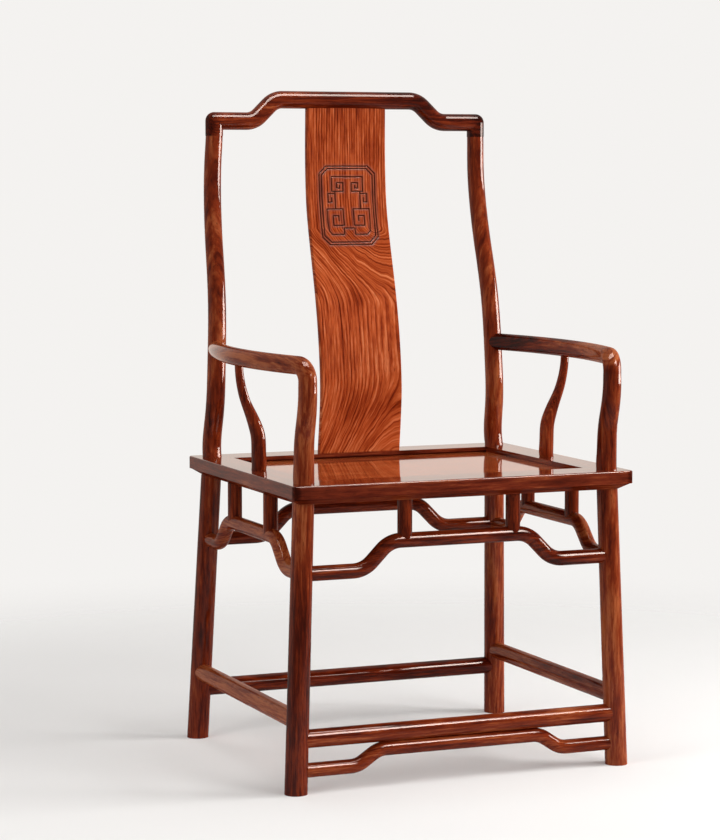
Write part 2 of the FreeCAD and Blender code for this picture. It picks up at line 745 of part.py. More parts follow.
def arm_section(body, name, side):
    """Round section at the arm's front end, in the upright plane through the bow's centre."""
    angle = f"-{TOE_IN}" if side > 0 else f"180 + {TOE_IN}"
    offset = (f"{side} * {ARM_CENTRE_X}", "0", f"-{ARM_CENTRE_Y}")
    sketch = new_sketch(body, name, "XZ_Plane", offset, axis=Vector(0, 1, 0), angle=angle)
    return circle(sketch, "sizes.arm_diameter", ARM_RADIUS, ARM_HEIGHT)


def make_arm(name, side):
    body = new_body(name)
    bow = arm_section(body, f"{name}_bow", side)
    revolve(body, bow, "V_Axis", ARM_SWEEP, "bow", reverse=side < 0)
    turn_down = arm_section(body, f"{name}_turn", side)
    level = value(ARM_JOINT)
    hinge = Part.LineSegment(Vector(0, level, 0), Vector(value("sizes.arm_bend_radius"), level, 0))
    line = turn_down.addGeometry(hinge, True)
    constrain(turn_down, "Horizontal", line)
    hold(turn_down, line, 1, "0", ARM_JOINT)
    constrain(turn_down, "DistanceX", -1, 1, line, 2, "sizes.arm_bend_radius")
    revolve(body, turn_down, "Axis0", "90", "turn", reverse=side < 0)
    return body


def arm_tenon(name, side, grow="0"):
    """Tongue at the arm's rear end, in line with the arm where it meets the post."""
    heading = f"(90 + {ARM_SWEEP} - {TOE_IN})"
    centre = (
        f"{side} * ({ARM_REAR_X} - {TENON_REACH} * cos({heading}))",
        f"({ARM_REAR_Y} - {TENON_REACH} * sin({heading}))",
        ARM_HEIGHT,
    )
    size = ("sizes.tenon_length", "sizes.tenon_thickness", "sizes.tenon_height")
    return block(name, centre, size, grow, heading if side > 0 else f"(180 - {heading})")


def make_arm_strut(name, side):
    """Slender S-curved strut, thick at the seat and thin under the arm."""
    body = new_body(name)
    rise = "sizes.arm_rise"
    lean = f"({ARM_STRUT_HEAD_X} - {ARM_STRUT_FOOT_X})"
    taper = "(sizes.arm_strut_head_diameter - sizes.arm_strut_foot_diameter)"
    stations = [
        (
            f"{side} * ({ARM_STRUT_FOOT_X} + {lean} * ({lean_share}))",
            f"(sizes.seat_height + {rise} * {up_share})",
            f"sizes.arm_strut_foot_diameter + {taper} * {taper_share}",
        )
        for up_share, lean_share, taper_share in ARM_STRUT_SHARES
    ]
    sections = []
    for index, (x, z, diameter) in enumerate(stations):
        below = stations[max(index - 1, 0)]
        above = stations[min(index + 1, len(stations) - 1)]
        lean_angle = f"atan2({above[0]} - {below[0]}; {above[1]} - {below[1]})"
        level = index in (0, len(stations) - 1)
        sketch = new_sketch(
            body, f"{name}_section", "XY_Plane", (x, ARM_STRUT_Y, z),
            axis=None if level else Vector(0, 1, 0), angle=lean_angle,
        )
        sections.append(circle(sketch, diameter))
    loft(body, sections, "strut")
    return body


def arm_strut_pegs(name, side, grow="0"):
    """Pegs at both ends of an arm strut: one down into the seat rail, one up into the arm."""
    depth = "sizes.peg_depth"
    wide = f"(sizes.arm_strut_peg_diameter + 2 * {grow})"
    foot = cylinder(
        f"{name}_foot", wide, f"2 * {depth} + 2 * {grow}", f"{side} * {ARM_STRUT_FOOT_X}", ARM_STRUT_Y,
        f"sizes.seat_height - {depth} - {grow}")
    head = cylinder(
        f"{name}_head", wide, f"2 * {depth} + {grow}", f"{side} * {ARM_STRUT_HEAD_X}", ARM_STRUT_Y,
        f"{ARM_HEIGHT} - 2 * {depth}")
    return foot, head


for side_name, side in SIDES.items():
    label = f"armrest_{side_name}"
    arm_blank = make_arm(f"{label}_bar", side)
    strut_blank = make_arm_strut(f"arm_strut_{side_name}_round", side)
    doc.recompute()
    foot_hole, head_hole = arm_strut_pegs(f"arm_strut_{side_name}_hole", side, CLEARANCE)
    frame_holes[side_name].append(foot_hole)
    socket = post_tenon(f"{label}_socket", f"{side} * {POST_X}", ARM_POST_Y, ARM_JOINT, CLEARANCE)
    rear_post = post_blanks[("rear", side_name)]
    scribed = cut(f"{label}_scribed", arm_blank, [rear_post, head_hole, socket])
    node(label, fuse(f"{label}_joined", [scribed, arm_tenon(f"{label}_tenon", side)]))
    mortises[("rear", side_name)].append(arm_tenon(f"{label}_mortise", side, CLEARANCE))
    label = f"arm_strut_{side_name}"
    scribed = cut(f"{label}_scribed", strut_blank, [arm_blank])
    node(label, fuse(f"{label}_joined", [scribed, *arm_strut_pegs(f"{label}_peg", side)]))


# Crest rail: a bowed raised middle, wings that step down, and heads that turn down onto the posts

WING_ANGLE = "sizes.crest_wing_angle"
WING_Y = f"({CREST_Y} - {CREST_RAISE_HALF} * tan({WING_ANGLE} / 2))"
WING_LENGTH = f"(({CREST_POST_X} - {CREST_RAISE_HALF}) / cos({WING_ANGLE}))"
CREST_BOW_RADIUS = f"({CREST_RAISE_HALF} / sin({WING_ANGLE}))"


def wing_path(sketch):
    """Centre line of one wing: down a step and along the low run to the corner over the post."""
    high, low = value(CREST_HIGH), value(CREST_LOW)
    run, length = value("sizes.crest_step_run"), value(WING_LENGTH)
    radius = value("sizes.crest_step_bend")
    angle = step_angle(high - low, run, radius)
    quarter = math.pi / 2
    top, bottom = (0, high - radius), (run, low + radius)
    arc(sketch, top, radius, quarter - angle, quarter)
    sketch.addGeometry(Part.LineSegment(
        on_ring(top, radius, quarter - angle), on_ring(bottom, radius, -quarter - angle)))
    arc(sketch, bottom, radius, -quarter - angle, -quarter)
    sketch.addGeometry(Part.LineSegment(Vector(run, low), Vector(length, low)))
    for joint in ((0, 1, 1, 1), (1, 2, 2, 1), (2, 2, 3, 1)):
        constrain(sketch, "Tangent", *joint)
    constrain(sketch, "Horizontal", 3)
    hold(sketch, 0, 2, "0", CREST_HIGH)
    hold(sketch, 3, 2, WING_LENGTH, CREST_LOW)
    constrain(sketch, "DistanceX", -1, 1, 0, 3, "0")
    constrain(sketch, "DistanceX", -1, 1, 2, 3, "sizes.crest_step_run")
    for bent in (0, 2):
        constrain(sketch, "Radius", bent, "sizes.crest_step_bend")


def crest_head(name, side):
    """Upright round end of the crest rail with a ball at the corner."""
    x = f"{side} * {CREST_POST_X}"
    wide, rise = "sizes.crest_diameter", "sizes.crest_end_rise"
    stem = cylinder(f"{name}_stem", wide, rise, x, CREST_POST_Y, CREST_JOINT)
    ball = doc.addObject("Part::Sphere", f"{name}_ball")
    bind(ball, Radius=f"{wide} / 2")
    place(ball, x, CREST_POST_Y, CREST_LOW)
    return [stem, ball]


def make_crest(name):
    body = new_body(name)
    middle = new_sketch(body, f"{name}_middle", "YZ_Plane")
    circle(middle, "sizes.crest_diameter", CREST_Y, CREST_HIGH)
    centre = value(f"{CREST_Y} - {CREST_BOW_RADIUS}")
    pivot = Part.LineSegment(Vector(centre, 0, 0), Vector(centre, value(CREST_HIGH), 0))
    line = middle.addGeometry(pivot, True)
    constrain(middle, "Vertical", line)
    hold(middle, line, 1, f"{CREST_Y} - {CREST_BOW_RADIUS}", "0")
    constrain(middle, "DistanceY", -1, 1, line, 2, CREST_HIGH)
    revolve(body, middle, "Axis0", f"2 * {WING_ANGLE}", "raised_middle", midplane=True)
    turned = {"axis": Vector(0, 1, 0), "angle": f"-{WING_ANGLE}"}
    path = new_sketch(
        body, f"{name}_wing_line", "XZ_Plane", (CREST_RAISE_HALF, "0", f"-{WING_Y}"), **turned)
    wing_path(path)
    section = new_sketch(
        body, f"{name}_wing_round", "YZ_Plane", (WING_Y, CREST_HIGH, CREST_RAISE_HALF), **turned)
    circle(section, "sizes.crest_diameter")
    wing = body.newObject("PartDesign::AdditivePipe", f"{name}_wing")
    wing.Profile = section
    wing.Spine = (path, [f"Edge{number}" for number in range(1, path.GeometryCount + 1)])
    doc.recompute()
    mirrored = body.newObject("PartDesign::Mirrored", f"{name}_other_wing")
    mirrored.Originals = [wing]
    plane = next(item for item in body.Origin.OriginFeatures if item.Role == "YZ_Plane")
    mirrored.MirrorPlane = (plane, [""])
    body.Tip = mirrored
    heads = [solid for side_name, side in SIDES.items() for solid in crest_head(f"{name}_{side_name}", side)]
    return fuse(f"{name}_whole", [body, *heads])


# Back splat: a thin board bent in an S, let into the seat's rear rail and the crest rail

def make_splat(name, grow="0"):
    body = new_body(name)
    foot_y = back("(sizes.seat_depth - sizes.splat_setback)")
    rise = f"({CREST_HIGH} - sizes.seat_height)"
    lean = f"({CREST_Y} - {foot_y})"
    stations = [(f"sizes.seat_height - sizes.splat_foot_depth - {grow}", foot_y, "0")]
    stations += [
        (f"(sizes.seat_height + {rise} * {up_share})", f"({foot_y} + {lean} * ({lean_share}))", str(up_share))
        for up_share, lean_share in SPLAT_SHARES
    ]
    sections = []
    for height, y, up_share in stations:
        half_width = (
            "((sizes.splat_foot_width + (sizes.splat_head_width - sizes.splat_foot_width)"
            f" * {up_share}) / 2 + {grow})"
        )
        half_thick = f"(sizes.splat_thickness / 2 + {grow})"
        sketch = new_sketch(body, f"{name}_section", "XY_Plane", ("0", y, height))
        sections.append(rounded_rectangle(
            sketch, half_width, f"-{half_thick}", half_thick, "sizes.splat_edge_rounding"))
    loft(body, sections, "board")
    return body


crest_blank = make_crest("crest_bar")
splat_blank = make_splat("splat_board")
splat_space = make_splat("splat_space", CLEARANCE)
doc.recompute()
crest_sockets = [
    post_tenon(f"crest_socket_{side_name}", f"{side} * {CREST_POST_X}", CREST_POST_Y, CREST_JOINT, CLEARANCE)
    for side_name, side in SIDES.items()
]
node("crest_rail", cut("crest_cut", crest_blank, [splat_space, *crest_sockets]))
node("back_splat", splat_blank)

for (end, side_name), blank in post_blanks.items():
    side = SIDES[side_name]
    label = f"{end}_post_{side_name}"
    if end == "rear":
        top = post_tenon(f"{label}_tenon", f"{side} * {CREST_POST_X}", CREST_POST_Y, CREST_JOINT)
    else:
        top = post_tenon(f"{label}_tenon", f"{side} * {POST_X}", ARM_POST_Y, ARM_JOINT)
    whole = fuse(f"{label}_whole", [blank, top])
    node(label, cut(f"{label}_mortised", whole, mortises[(end, side_name)]))


# Seat frame: one moulded ring, mitred into four rails and bored for the posts

def frame_outline(sketch, inset="0"):
    """Outer outline of the seat, drawn in by an inset."""
    return rounded_rectangle(
        sketch, f"(sizes.seat_width / 2 - {inset})", f"({FRONT_EDGE} + {inset})", f"({REAR_EDGE} - {inset})",
        "sizes.corner_rounding")


def opening(sketch, margin="0"):
    """Opening of the frame, grown by a margin all round."""
    return rectangle(
        sketch, f"({INNER_HALF} + {margin})", f"({OPENING_FRONT} - {margin})", f"({OPENING_REAR} + {margin})")


def make_frame(name):
    body = new_body(name)
    band_foot = "(sizes.seat_height - sizes.edge_band)"
    band = frame_outline(new_sketch(body, "band", "XY_Plane", ("0", "0", band_foot)))
    band_pad = pad(body, band, "sizes.edge_band", "band_pad")
    doc.recompute()
    top = value("sizes.seat_height")
    rim = [
        f"Edge{number}" for number, edge in enumerate(band_pad.Shape.Edges, start=1)
        if all(math.isclose(vertex.Z, top) for vertex in edge.Vertexes)
    ]
    rounded = body.newObject("PartDesign::Fillet", "rounded_edge")
    rounded.Base = (band_pad, rim)
    bind(rounded, Radius="sizes.edge_rounding")
    upper = frame_outline(
        new_sketch(body, "undercut_top", "XY_Plane", ("0", "0", band_foot)), "sizes.edge_ledge")
    lower = frame_outline(
        new_sketch(body, "undercut_foot", "XY_Plane", ("0", "0", FRAME_UNDERSIDE)), "sizes.edge_undercut")
    loft(body, [upper, lower], "undercut", ruled=True)
    through = opening(new_sketch(body, "opening", "XY_Plane", ("0", "0", "sizes.seat_height")))
    pocket(body, through, "sizes.frame_thickness", "opening_cut")
    lip = opening(new_sketch(body, "lip", "XY_Plane", ("0", "0", "sizes.seat_height")), "sizes.lip_width")
    pocket(body, lip, "sizes.lip_depth", "lip_cut")
    groove_top = f"({TONGUE_TOP} + {CLEARANCE})"
    groove = opening(new_sketch(body, "groove", "XY_Plane", ("0", "0", groove_top)), "sizes.tongue_depth")
    pocket(body, groove, f"sizes.tongue_thickness + 2 * {CLEARANCE}", "groove_cut")
    return body


def mitre_wedge(name, corners):
    """Upright block that takes one mitred rail out of the frame."""
    body = new_body(name)
    outline = polygon(new_sketch(body, f"{name}_outline", "XY_Plane", ("0", "0", FRAME_UNDERSIDE)), corners)
    pad(body, outline, "sizes.frame_thickness", f"{name}_pad")
    return body


HALF = "(sizes.seat_width / 2)"
FRONT_CORNERS = ((f"-{HALF}", FRONT_EDGE), (HALF, FRONT_EDGE),
                 (INNER_HALF, OPENING_FRONT), (f"-{INNER_HALF}", OPENING_FRONT))
REAR_CORNERS = ((HALF, REAR_EDGE), (f"-{HALF}", REAR_EDGE),
                (f"-{INNER_HALF}", OPENING_REAR), (INNER_HALF, OPENING_REAR))
RIGHT_CORNERS = ((HALF, FRONT_EDGE), (HALF, REAR_EDGE),
                 (INNER_HALF, OPENING_REAR), (INNER_HALF, OPENING_FRONT))
LEFT_CORNERS = ((f"-{HALF}", REAR_EDGE), (f"-{HALF}", FRONT_EDGE),
                (f"-{INNER_HALF}", OPENING_FRONT), (f"-{INNER_HALF}", OPENING_REAR))
RAIL_CORNERS = {"front": FRONT_CORNERS, "rear": REAR_CORNERS, "left": LEFT_CORNERS, "right": RIGHT_CORNERS}


# Battens: keyed into the panel from below, with a tongue into the front and rear rails

BATTEN_TOP = f"({PANEL_TOP} - sizes.panel_thickness)"


def batten_section(sketch, grow="0"):
    """Section of a batten with its dovetail key, seen along the chair, about its own middle."""
    half = f"(sizes.batten_width / 2 - sizes.batten_key_flare + {grow})"
    wide = f"(sizes.batten_width / 2 + {grow})"
    key_top = f"({BATTEN_TOP} + sizes.batten_key_depth + {grow})"
    return polygon(sketch, (
        (f"-{half}", BATTEN_TOP), (half, BATTEN_TOP), (wide, key_top), (f"-{wide}", key_top),
    ))


def batten_tongue(name, side, end, grow="0"):
    edge = OPENING_FRONT if end == "front" else OPENING_REAR
    centre = (f"{side} * sizes.batten_offset", edge, f"({BATTEN_TOP} - sizes.batten_height / 2)")
    size = ("sizes.batten_width / 2", "2 * sizes.peg_depth", "sizes.batten_height / 2")
    return block(name, centre, size, grow)


PANEL_MIDDLE = f"(({OPENING_FRONT} + {OPENING_REAR}) / 2)"
PANEL_LENGTH = f"({OPENING_REAR} - {OPENING_FRONT} - 2 * {CLEARANCE})"
panel = new_body("panel_board")
tongue = opening(
    new_sketch(panel, "tongue", "XY_Plane", ("0", "0", f"({TONGUE_TOP} - sizes.tongue_thickness)")),
    f"(sizes.tongue_depth - {CLEARANCE})")
pad(panel, tongue, "sizes.tongue_thickness", "tongue_pad")
field = opening(new_sketch(panel, "field", "XY_Plane", ("0", "0", BATTEN_TOP)), f"(-{CLEARANCE})")
pad(panel, field, "sizes.panel_thickness", "field_pad")
for side_name, side in SIDES.items():
    offset = (f"{side} * sizes.batten_offset", "0", f"-{PANEL_MIDDLE}")
    slot = batten_section(new_sketch(panel, f"slot_{side_name}", "XZ_Plane", offset), CLEARANCE)
    pocket(panel, slot, f"{PANEL_LENGTH} + 2 * sizes.overrun", f"slot_{side_name}_cut", midplane=True)
    batten = new_body(f"batten_{side_name}_bar")
    key = batten_section(new_sketch(batten, f"key_{side_name}", "XZ_Plane", offset))
    pad(batten, key, PANEL_LENGTH, f"key_{side_name}_pad", midplane=True)
    bar = rectangle(
        new_sketch(batten, f"bar_{side_name}", "XZ_Plane", offset), "sizes.batten_width / 2",
        f"({BATTEN_TOP} - sizes.batten_height)", BATTEN_TOP)
    pad(batten, bar, PANEL_LENGTH, f"bar_{side_name}_pad", midplane=True)
    tongues = []
    for end in ENDS:
        tongues.append(batten_tongue(f"batten_{side_name}_{end}", side, end))
        frame_holes[end].append(batten_tongue(f"batten_{side_name}_{end}_slot", side, end, CLEARANCE))
    node(f"seat_batten_{side_name}", fuse(f"batten_{side_name}_joined", [batten, *tongues]))
node("seat_panel", panel)

frame_holes["rear"].append(splat_space)
frame = make_frame("frame_ring")
for name, corners in RAIL_CORNERS.items():
    rail = doc.addObject("Part::Common", f"{name}_rail_mitred")
    rail.Base = frame
    rail.Tool = mitre_wedge(f"{name}_rail_wedge", corners)
    holes = [post_holes[key] for key in post_holes if name in key]
    node(f"seat_{name}_rail", cut(f"{name}_rail_bored", rail, holes + frame_holes[name]))

doc.recompute()


# Checks and output

for thing in doc.Objects:
    if "Invalid" in thing.State or "Error" in thing.State:
        raise RuntimeError(f"{thing.Name} ({thing.Label}) failed: {thing.State}")
for thing in nodes:
    shape = thing.Shape
    if shape.isNull() or not shape.isValid():
        raise RuntimeError(f"{thing.Label} has no valid shape")
    if len(shape.Solids) != 1:
        raise RuntimeError(f"{thing.Label} is {len(shape.Solids)} solids")

os.makedirs("parts", exist_ok=True)
for thing in nodes:
    thing.Shape.exportStep(f"parts/{thing.Label}.step")
print(len(nodes), "pieces written")
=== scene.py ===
import math

import bpy
import numpy as np
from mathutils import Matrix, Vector
from mathutils.bvhtree import BVHTree


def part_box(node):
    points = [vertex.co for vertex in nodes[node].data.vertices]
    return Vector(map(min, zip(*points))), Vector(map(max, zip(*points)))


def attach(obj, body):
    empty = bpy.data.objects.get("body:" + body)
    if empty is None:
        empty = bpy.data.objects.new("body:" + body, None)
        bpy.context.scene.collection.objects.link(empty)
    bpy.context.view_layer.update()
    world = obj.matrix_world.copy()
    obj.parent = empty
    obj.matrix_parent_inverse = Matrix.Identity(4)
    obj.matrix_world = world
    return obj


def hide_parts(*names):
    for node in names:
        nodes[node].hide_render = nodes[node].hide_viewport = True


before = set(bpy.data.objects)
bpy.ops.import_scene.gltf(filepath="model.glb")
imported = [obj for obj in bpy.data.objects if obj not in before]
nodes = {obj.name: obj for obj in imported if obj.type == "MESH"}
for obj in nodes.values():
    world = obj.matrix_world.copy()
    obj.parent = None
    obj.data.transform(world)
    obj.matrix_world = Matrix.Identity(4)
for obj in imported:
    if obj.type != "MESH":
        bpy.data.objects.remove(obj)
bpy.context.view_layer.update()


# Legs and posts
# Four long sticks of dark red rosewood, each a leg and the post above it in one piece. They are sawn to
# their curves, so the grain runs out a little where they bend, and then planed round and lacquered.

class Value:
    """A socket that takes part in sums: an expression on values adds its Math nodes."""

    def __init__(self, finish, socket):
        self.finish = finish
        self.socket = socket

    def other(self, output):
        """Another output of the node that this value comes from."""
        return Value(self.finish, self.socket.node.outputs[output])

    def sum(self, operation, *terms):
        return self.finish.node("ShaderNodeMath", {"operation": operation}, dict(enumerate(terms)))

    def __add__(self, term):
        return self.sum("ADD", self, term)

    def __radd__(self, term):
        return self.sum("ADD", term, self)

    def __sub__(self, term):
        return self.sum("SUBTRACT", self, term)

    def __rsub__(self, term):
        return self.sum("SUBTRACT", term, self)

    def __mul__(self, term):
        return self.sum("MULTIPLY", self, term)

    def __rmul__(self, term):
        return self.sum("MULTIPLY", term, self)

    def __truediv__(self, term):
        return self.sum("DIVIDE", self, term)

    def __pow__(self, term):
        return self.sum("POWER", self, term)

    def __mod__(self, term):
        return self.sum("FLOORED_MODULO", self, term)

    def __abs__(self):
        return self.sum("ABSOLUTE", self)

    def floor(self):
        return self.sum("FLOOR", self)

    def most(self, term):
        return self.sum("MAXIMUM", self, term)

    def rise(self, low, high):
        """0 below low, 1 above high, with a soft step between."""
        ends = {"Value": self, "From Min": low, "From Max": high}
        return self.finish.node("ShaderNodeMapRange", {"interpolation_type": "SMOOTHSTEP"}, ends)


def set_stops(ramp, stops):
    """Give a colour ramp its stops, each a place and a colour."""
    while len(ramp) < len(stops):
        ramp.new(0.5)
    for stop, (place, colour) in zip(ramp, stops):
        stop.position = place
        stop.color = (*colour, 1)


class Finish:
    """A material or world under way; its nodes come from one method."""

    def __init__(self, name, store=bpy.data.materials):
        self.made = store.new(name)
        self.made.use_nodes = True
        self.tree = self.made.node_tree

    def node(self, kind, settings=None, inputs=None, out=0):
        """Add a node, with its settings and the values or links of its sockets, and give one output."""
        made = self.tree.nodes.new(kind)
        for key, setting in (settings or {}).items():
            if key == "stops":
                set_stops(made.color_ramp.elements, setting)
            else:
                setattr(made, key, setting)
        for key, given in (inputs or {}).items():
            self.feed(made.inputs[key], given)
        return Value(self, made.outputs[out])

    def feed(self, socket, given):
        if isinstance(given, Value):
            self.tree.links.new(given.socket, socket)
        else:
            socket.default_value = given

    def set(self, **settings):
        """Values of the shader's own sockets; an underscore stands for a space."""
        shader = self.tree.nodes["Principled BSDF"]
        for name, given in settings.items():
            self.feed(shader.inputs[name.replace("_", " ")], given)

    def vector(self, *parts):
        return self.node("ShaderNodeCombineXYZ", None, dict(enumerate(parts)))

    def noise(self, vector, scale, detail=2, roughness=0.5):
        """Noise that averages 0, about half a unit either way."""
        inputs = {"Vector": vector, "Scale": scale, "Detail": detail, "Roughness": roughness}
        return self.node("ShaderNodeTexNoise", None, inputs) - 0.5

    def mix(self, share, first, second):
        """Colours blended by a share; the Mix node takes them at 6 and 7 and gives a colour at 2."""
        sockets = {0: share, 6: first, 7: second}
        return self.node("ShaderNodeMix", {"data_type": "RGBA"}, sockets, out=2)

    def place(self, middle):
        """Place on the chair from a piece's middle, as three values."""
        spot = self.node("ShaderNodeTexCoord", out="Object")
        back = tuple(-part for part in middle)
        moved = self.node("ShaderNodeVectorMath", {"operation": "ADD"}, {0: spot, 1: back})
        x = self.node("ShaderNodeSeparateXYZ", None, {"Vector": moved})
        return x, x.other("Y"), x.other("Z")

    def facing_up(self):
        """1 where the surface looks up, -1 where it looks down."""
        normal = self.node("ShaderNodeTexCoord", out="Normal")
        return self.node("ShaderNodeSeparateXYZ", None, {"Vector": normal}, out="Z")


def length(finish, *parts):
    """Distance from zero to a place of up to three parts."""
    spot = finish.vector(*parts)
    return finish.node("ShaderNodeVectorMath", {"operation": "LENGTH"}, {0: spot}, out="Value")


# How far apart the woods of two seeds lie, how many rings the lines wander, and the tone between lines
SEED_SHIFT = 3.7
WANDER = 2.2
MIDDLE_TONE = 0.6


def figure(finish, reach, aside, along, seed, ring=0.0045, cloud=0.5, streak=1.0, fibre=1.5, late=0.12):
    """Tone of rosewood, 0 for ink and 1 for light, where reach is the distance from the heart.

    Dark late wood ends each ring, and broad streaks, fine fibres and clouds run with the grain."""
    start = reach + seed * SEED_SHIFT

    def drawn_out(beside, lengthwise, scale, detail, roughness=0.5):
        """Noise that changes slowly beside and along the grain, by these shares."""
        cells = finish.vector(start, aside * beside, along * lengthwise)
        return finish.noise(cells, scale, detail, roughness)

    drift = drawn_out(1, 0.2, scale=21, detail=3)
    blot = drawn_out(1, 0.4, scale=24, detail=2)
    broad = drawn_out(0.35, 0.045, scale=95, detail=3, roughness=0.6)
    fine = drawn_out(0.5, 0.05, scale=300, detail=3, roughness=0.7)
    # Each ring darkens towards its late wood and ends sharply, and some years are darker than others
    rings = reach / ring + drift * WANDER
    band = rings % 1
    year = finish.node("ShaderNodeTexWhiteNoise", {"noise_dimensions": "1D"}, {"W": rings.floor() + seed})
    line = band ** 3 * (0.4 + 0.6 * year) * (1 - band.rise(0.9, 1))
    return MIDDLE_TONE + blot * cloud + broad * streak + fine * fibre - line * late


def pores(finish, reach, aside, along, seed):
    """Short dark dashes of open vessels along the grain, 0 to 1."""
    cells = finish.vector(reach + seed, aside * 0.6, along * 0.06)
    return finish.noise(cells, 1400, 1).rise(0.12, 0.22)


# Where the colours of a wood stand on its scale of tones
TONES = {"ink": 0, "dark": 0.3, "body": 0.62, "light": 1}
DARK_WOOD = {
    "ink": (0.020, 0.0022, 0.0010), "dark": (0.070, 0.0065, 0.0018),
    "body": (0.178, 0.0225, 0.0050), "light": (0.35, 0.088, 0.028),
}


def rosewood(finish, tone, vessels, wood):
    """Colours of one kind of rosewood from dark to light, with darker vessels."""
    stops = [(place, wood[shade]) for shade, place in TONES.items()]
    colour = finish.node("ShaderNodeValToRGB", {"stops": stops}, {"Fac": tone})
    return finish.mix(vessels * 0.5, colour, (*wood["ink"], 1))


def lacquer(finish, colour, tone, vessels, gloss, dull=0.06):
    """Thin clear lacquer over the colour, with the vessels just felt in it. Its coat has all the gloss."""
    height = tone * 0.4 - vessels
    bump = finish.node("ShaderNodeBump", None, {"Strength": 0.2, "Distance": 0.00015, "Height": height})
    finish.set(
        Base_Color=colour, Roughness=0.4 + vessels * 0.2, Normal=bump, Specular_IOR_Level=0.0,
        Coat_Weight=gloss, Coat_Roughness=dull, Coat_IOR=1.5)


def dress(name, finish):
    """Give a piece of the frame its finish."""
    for slot in nodes[name].material_slots:
        slot.material = finish.made


def middle_of(name):
    """Middle of one piece's box."""
    low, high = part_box(name)
    return (low + high) / 2


# For a stick along each axis, which parts of a place lie across it, beside it and along it
ALONG = {"X": (1, 2, 0), "Y": (0, 2, 1), "Z": (0, 1, 2)}
# The steepest slope of a heart, and the stretch about a stick's middle where its tone climbs
STEEPEST = 0.012
CLIMB_STRETCH = (-0.15, 0.2)


def grain(finish, name, axis, heart, seed, bow=1.0):
    """Distance from the heart, place beside it and place along one stick of the frame.

    The heart lies beside the stick at a slight slope, and a bow under 1 lets the grain follow a
    curved stick."""
    place = finish.place(middle_of(name))
    across, aside, along = (place[part] for part in ALONG[axis])
    slope = STEEPEST * math.sin(seed * 2.3)
    reach = length(finish, across - heart[0] + along * slope, aside * bow - heart[1], 0)
    return reach, aside, along


def sawn(finish, name, axis, heart, seed, shade=0.0, climb=0.0, bow=1.0, **looks):
    """Tone and vessels of one stick; shade shifts its tone, and climb shifts it more past its middle."""
    reach, aside, along = grain(finish, name, axis, heart, seed, bow)
    tone = figure(finish, reach, aside, along, seed, **looks)
    tone = tone + along.rise(*CLIMB_STRETCH) * climb + shade
    return tone, pores(finish, reach, aside, along, seed)


def stick(name, axis, heart, seed, gloss=0.3, wood=DARK_WOOD, **looks):
    """Finish of one stick of the frame."""
    finish = Finish(f"{name}_rosewood")
    tone, vessels = sawn(finish, name, axis, heart, seed, **looks)
    lacquer(finish, rosewood(finish, tone, vessels, wood), tone, vessels, gloss)
    dress(name, finish)


POSTS = {
    "front_post_left": {"heart": (0.026, 0.018), "seed": 2, "shade": -0.24, "climb": 0.42},
    "front_post_right": {"heart": (-0.019, 0.024), "seed": 3, "shade": 0.18, "climb": -0.33},
    "rear_post_left": {"heart": (0.021, 0.03), "seed": 4, "shade": -0.12, "climb": 0.2},
    "rear_post_right": {"heart": (-0.024, 0.02), "seed": 5, "shade": 0.06, "climb": -0.03},
}
POST_BOW = 0.3
for name, looks in POSTS.items():
    stick(name, "Z", bow=POST_BOW, **looks)
# Each stick below counts on from the last post's seed
seed = POSTS["rear_post_right"]["seed"]


# Foot rails and the brace under the front one
# Round rails tenoned into the legs near the floor, the side ones a little higher, and a humped brace
# let in under the front rail. They are sawn from the same dark wood, with the grain along each rail.

for end, shade in (("front", 0.0), ("rear", -0.28)):
    seed += 1
    stick(f"{end}_foot_rail", "X", (0.024, -0.03), seed, shade=shade)
for side, shade in (("left", 0.28), ("right", 0.1)):
    seed += 1
    stick(f"{side}_foot_rail", "Y", (-0.03, 0.025), seed, shade=shade)
seed += 1
stick("front_foot_brace", "X", (0.03, 0.04), seed)


# Humped stretchers and their short struts
# A stretcher steps up on each side to carry two short round struts under the seat. It is cut from a
# straight plank, so the rings cross its slopes.

SIDES = ("left", "right")
ENDS = ("front", "rear")
for end in ENDS:
    seed += 1
    stick(f"{end}_hump_stretcher", "X", (0.04, 0.05), seed, shade=-0.2)
for side in SIDES:
    seed += 1
    stick(f"{side}_hump_stretcher", "Y", (-0.04, 0.05), seed, shade=0.14)
for end in ENDS:
    for side in SIDES:
        seed += 1
        stick(f"{end}_strut_{side}", "Z", (0.02, 0.03), seed, shade=-0.19)
        stick(f"{side}_strut_{end}", "Z", (0.03, -0.02), seed + 0.5, shade=-0.15)


# Seat frame
# Four wide rails, mitred and tenoned at the corners, with a rounded upper edge and an undercut below.
# Their tops are figured and polished until they mirror what stands on them.

SEAT_WOOD = {
    "ink": (0.030, 0.0034, 0.0014), "dark": (0.080, 0.0085, 0.0024),
    "body": (0.150, 0.0200, 0.0065), "light": (0.30, 0.070, 0.022),
}
# Widths of the rails round the opening
SIDE_RAIL = 0.063
FRONT_RAIL = 0.071
REAR_RAIL = 0.069
# Sizes of the painted dark lines: the painted shade along the edge over the panel, the painted shadow of
# the gap below it, and the frame's outer corners
ARRIS = 0.003
SHADOW_GAP_DEPTH = 0.0055
SHADOW_GAP_BLUR = 0.0007
CORNER = 0.012
# How far a face looks up as it stops being upright, as it leaves the undercut and as it becomes level
UPRIGHT = (0.2, 0.8)
UNDERCUT = (-0.3, 0.1)
LEVEL = (0.6, 0.95)

